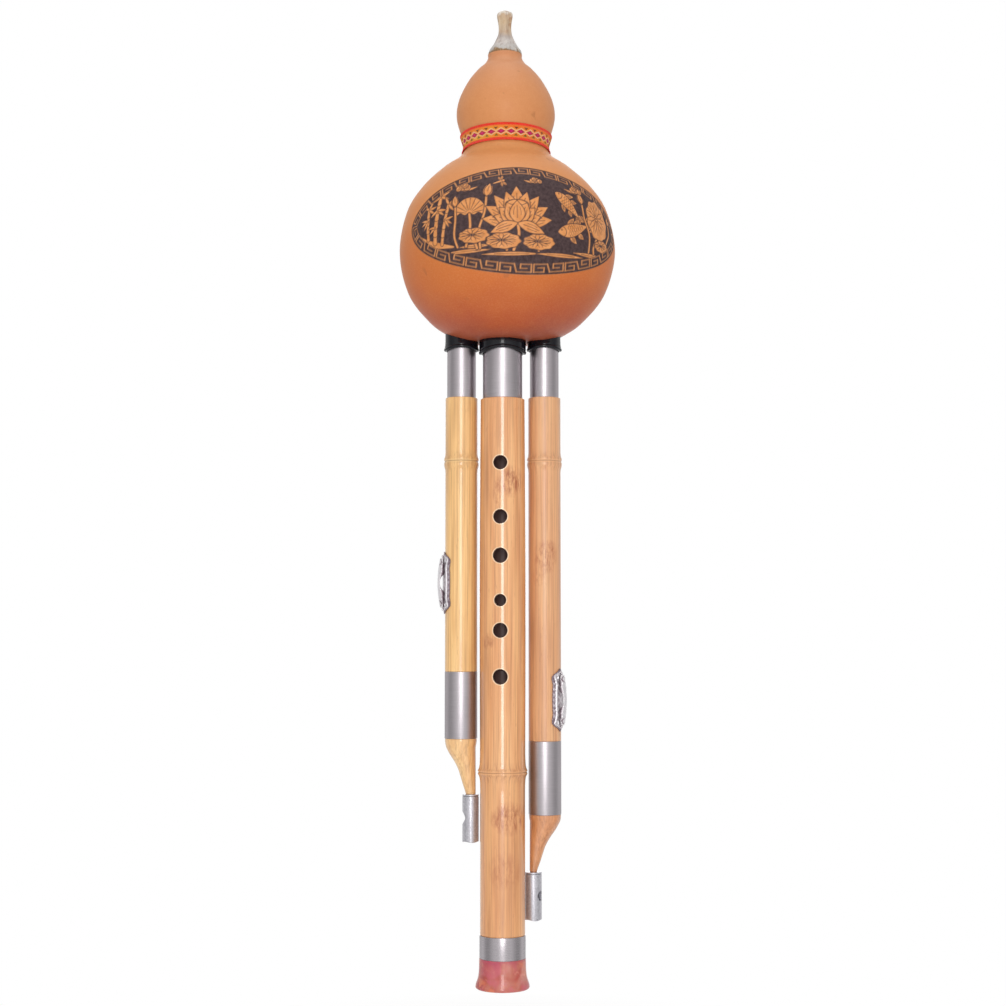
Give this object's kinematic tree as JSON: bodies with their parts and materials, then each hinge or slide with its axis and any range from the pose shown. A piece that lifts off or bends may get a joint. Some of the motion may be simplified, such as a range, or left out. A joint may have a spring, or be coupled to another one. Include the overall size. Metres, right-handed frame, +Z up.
{
  "type": "hulusi",
  "caption": "Gourd flute: a hollow gourd wind chest holds a fingered bamboo melody pipe between sliding bamboo drones, each with a silver handle and a rotary shut-off valve.",
  "frame": {"origin": "on the melody pipe's axis, in the plane of its bell's lower rim", "axes": "+Z up along the pipes to the stem, finger holes face -Y, the longer drone is at +X"},
  "size_m": [0.0971, 0.097, 0.4412],
  "materials": {
    "gourd_skin": "dried gourd skin, waxed and glossy, orange tan with a burnt drawing",
    "dried_stem": "weathered grey dried stem, matt",
    "woven_ribbon": "woven ribbon with coloured diamonds",
    "black_resin": "polished black resin",
    "main_bamboo": "varnished tan bamboo",
    "left_bamboo": "varnished yellow bamboo",
    "right_bamboo": "varnished tan bamboo",
    "brushed_metal": "brushed nickel-silver tube",
    "red_stone": "polished red stone-like resin, marbled",
    "cast_silver": "cast silver ornament with darkened hollows",
    "seat_wood": "turned wood",
    "reed_brass": "rolled brass reed",
    "valve_metal": "turned aluminium, satin"
  },
  "bodies": {
    "gourd": {"gourd_shell": "gourd_skin", "gourd_base": "gourd_skin", "blow_stem": "dried_stem", "waist_ribbon": "woven_ribbon", "left_sleeve": "black_resin", "centre_sleeve": "black_resin", "right_sleeve": "black_resin"},
    "main_pipe": {"main_tube": "brushed_metal", "main_bamboo": "main_bamboo", "main_reed_seat": "seat_wood", "main_reed": "reed_brass", "tail_ring": "brushed_metal", "tail_bell": "red_stone"},
    "left_drone": {"left_tube": "brushed_metal", "left_bamboo": "left_bamboo", "left_reed_seat": "seat_wood", "left_reed": "reed_brass", "left_ferrule": "brushed_metal", "left_spout": "left_bamboo", "left_handle_plate": "cast_silver", "left_handle_bow": "cast_silver", "left_lower_handle_pin": "cast_silver", "left_upper_handle_pin": "cast_silver", "left_valve_core": "valve_metal"},
    "left_valve": {"left_valve_sleeve": "valve_metal", "left_valve_plug": "valve_metal"},
    "right_drone": {"right_tube": "brushed_metal", "right_bamboo": "right_bamboo", "right_reed_seat": "seat_wood", "right_reed": "reed_brass", "right_ferrule": "brushed_metal", "right_spout": "right_bamboo", "right_handle_plate": "cast_silver", "right_handle_bow": "cast_silver", "right_lower_handle_pin": "cast_silver", "right_upper_handle_pin": "cast_silver", "right_valve_core": "valve_metal"},
    "right_valve": {"right_valve_sleeve": "valve_metal", "right_valve_plug": "valve_metal"}
  },
  "joints": [
    {"name": "main_pipe_slide", "type": "slide", "parent": "gourd", "child": "main_pipe", "axis": [0, 0, -1], "range_m": [-0.018, 0.038]},
    {"name": "left_drone_slide", "type": "slide", "parent": "gourd", "child": "left_drone", "axis": [0, 0, -1], "range_m": [-0.018, 0.028]},
    {"name": "right_drone_slide", "type": "slide", "parent": "gourd", "child": "right_drone", "axis": [0, 0, -1], "range_m": [-0.018, 0.02]},
    {"name": "left_valve_turn", "type": "hinge", "parent": "left_drone", "child": "left_valve", "pos_m": [-0.0143, 0.0045, 0.0731], "axis": [0, 0, 1], "continuous": true},
    {"name": "right_valve_turn", "type": "hinge", "parent": "right_drone", "child": "right_valve", "pos_m": [0.0138, 0.0045, 0.0387], "axis": [0, 0, 1], "continuous": true}
  ]
}
